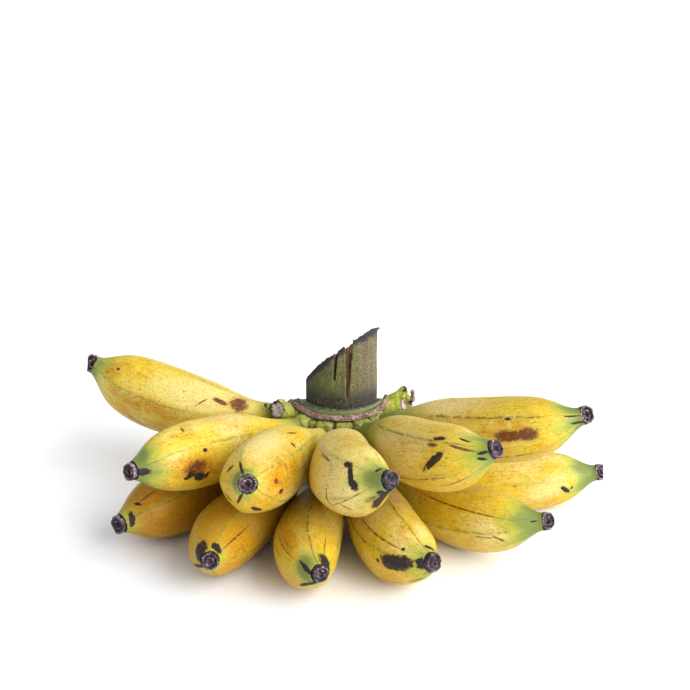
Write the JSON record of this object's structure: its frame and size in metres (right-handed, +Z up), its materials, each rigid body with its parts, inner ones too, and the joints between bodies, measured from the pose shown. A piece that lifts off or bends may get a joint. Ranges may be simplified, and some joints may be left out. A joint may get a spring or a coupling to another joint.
{
  "type": "hand of small yellow bananas",
  "caption": "Hand of small plump yellow bananas in two rows round a green crown, with a slant-cut stem stub; lies on a table for food, market and still-life scenes.",
  "frame": {"origin": "on the table, under the centre of the bounding box of the hand lying with its cut stalk up", "axes": "+Z up, out of the table; +X along the spread of the hand, to the right when its tips face the viewer; -Y the way the middle tips point"},
  "size_m": [0.2822, 0.1914, 0.095],
  "materials": {
    "banana_skin": "satin waxy banana skin: warm yellow, amber blush, green at both ends, brown flecks and ridge lines, near-black dry buttons",
    "green_stalk": "matt olive-green stalk with dark flecks, purple-black cut edge, pinkish-brown bract scar, pale torn stubs"
  },
  "bodies": {
    "root": {"stalk_with_crown": "green_stalk", "fruit_upper_1": "banana_skin", "fruit_upper_2": "banana_skin", "fruit_upper_3": "banana_skin", "fruit_upper_4": "banana_skin", "fruit_upper_5": "banana_skin", "fruit_upper_6": "banana_skin", "fruit_lower_1": "banana_skin", "fruit_lower_2": "banana_skin", "fruit_lower_3": "banana_skin", "fruit_lower_4": "banana_skin", "fruit_lower_5": "banana_skin", "fruit_lower_6": "banana_skin"}
  },
  "joints": []
}
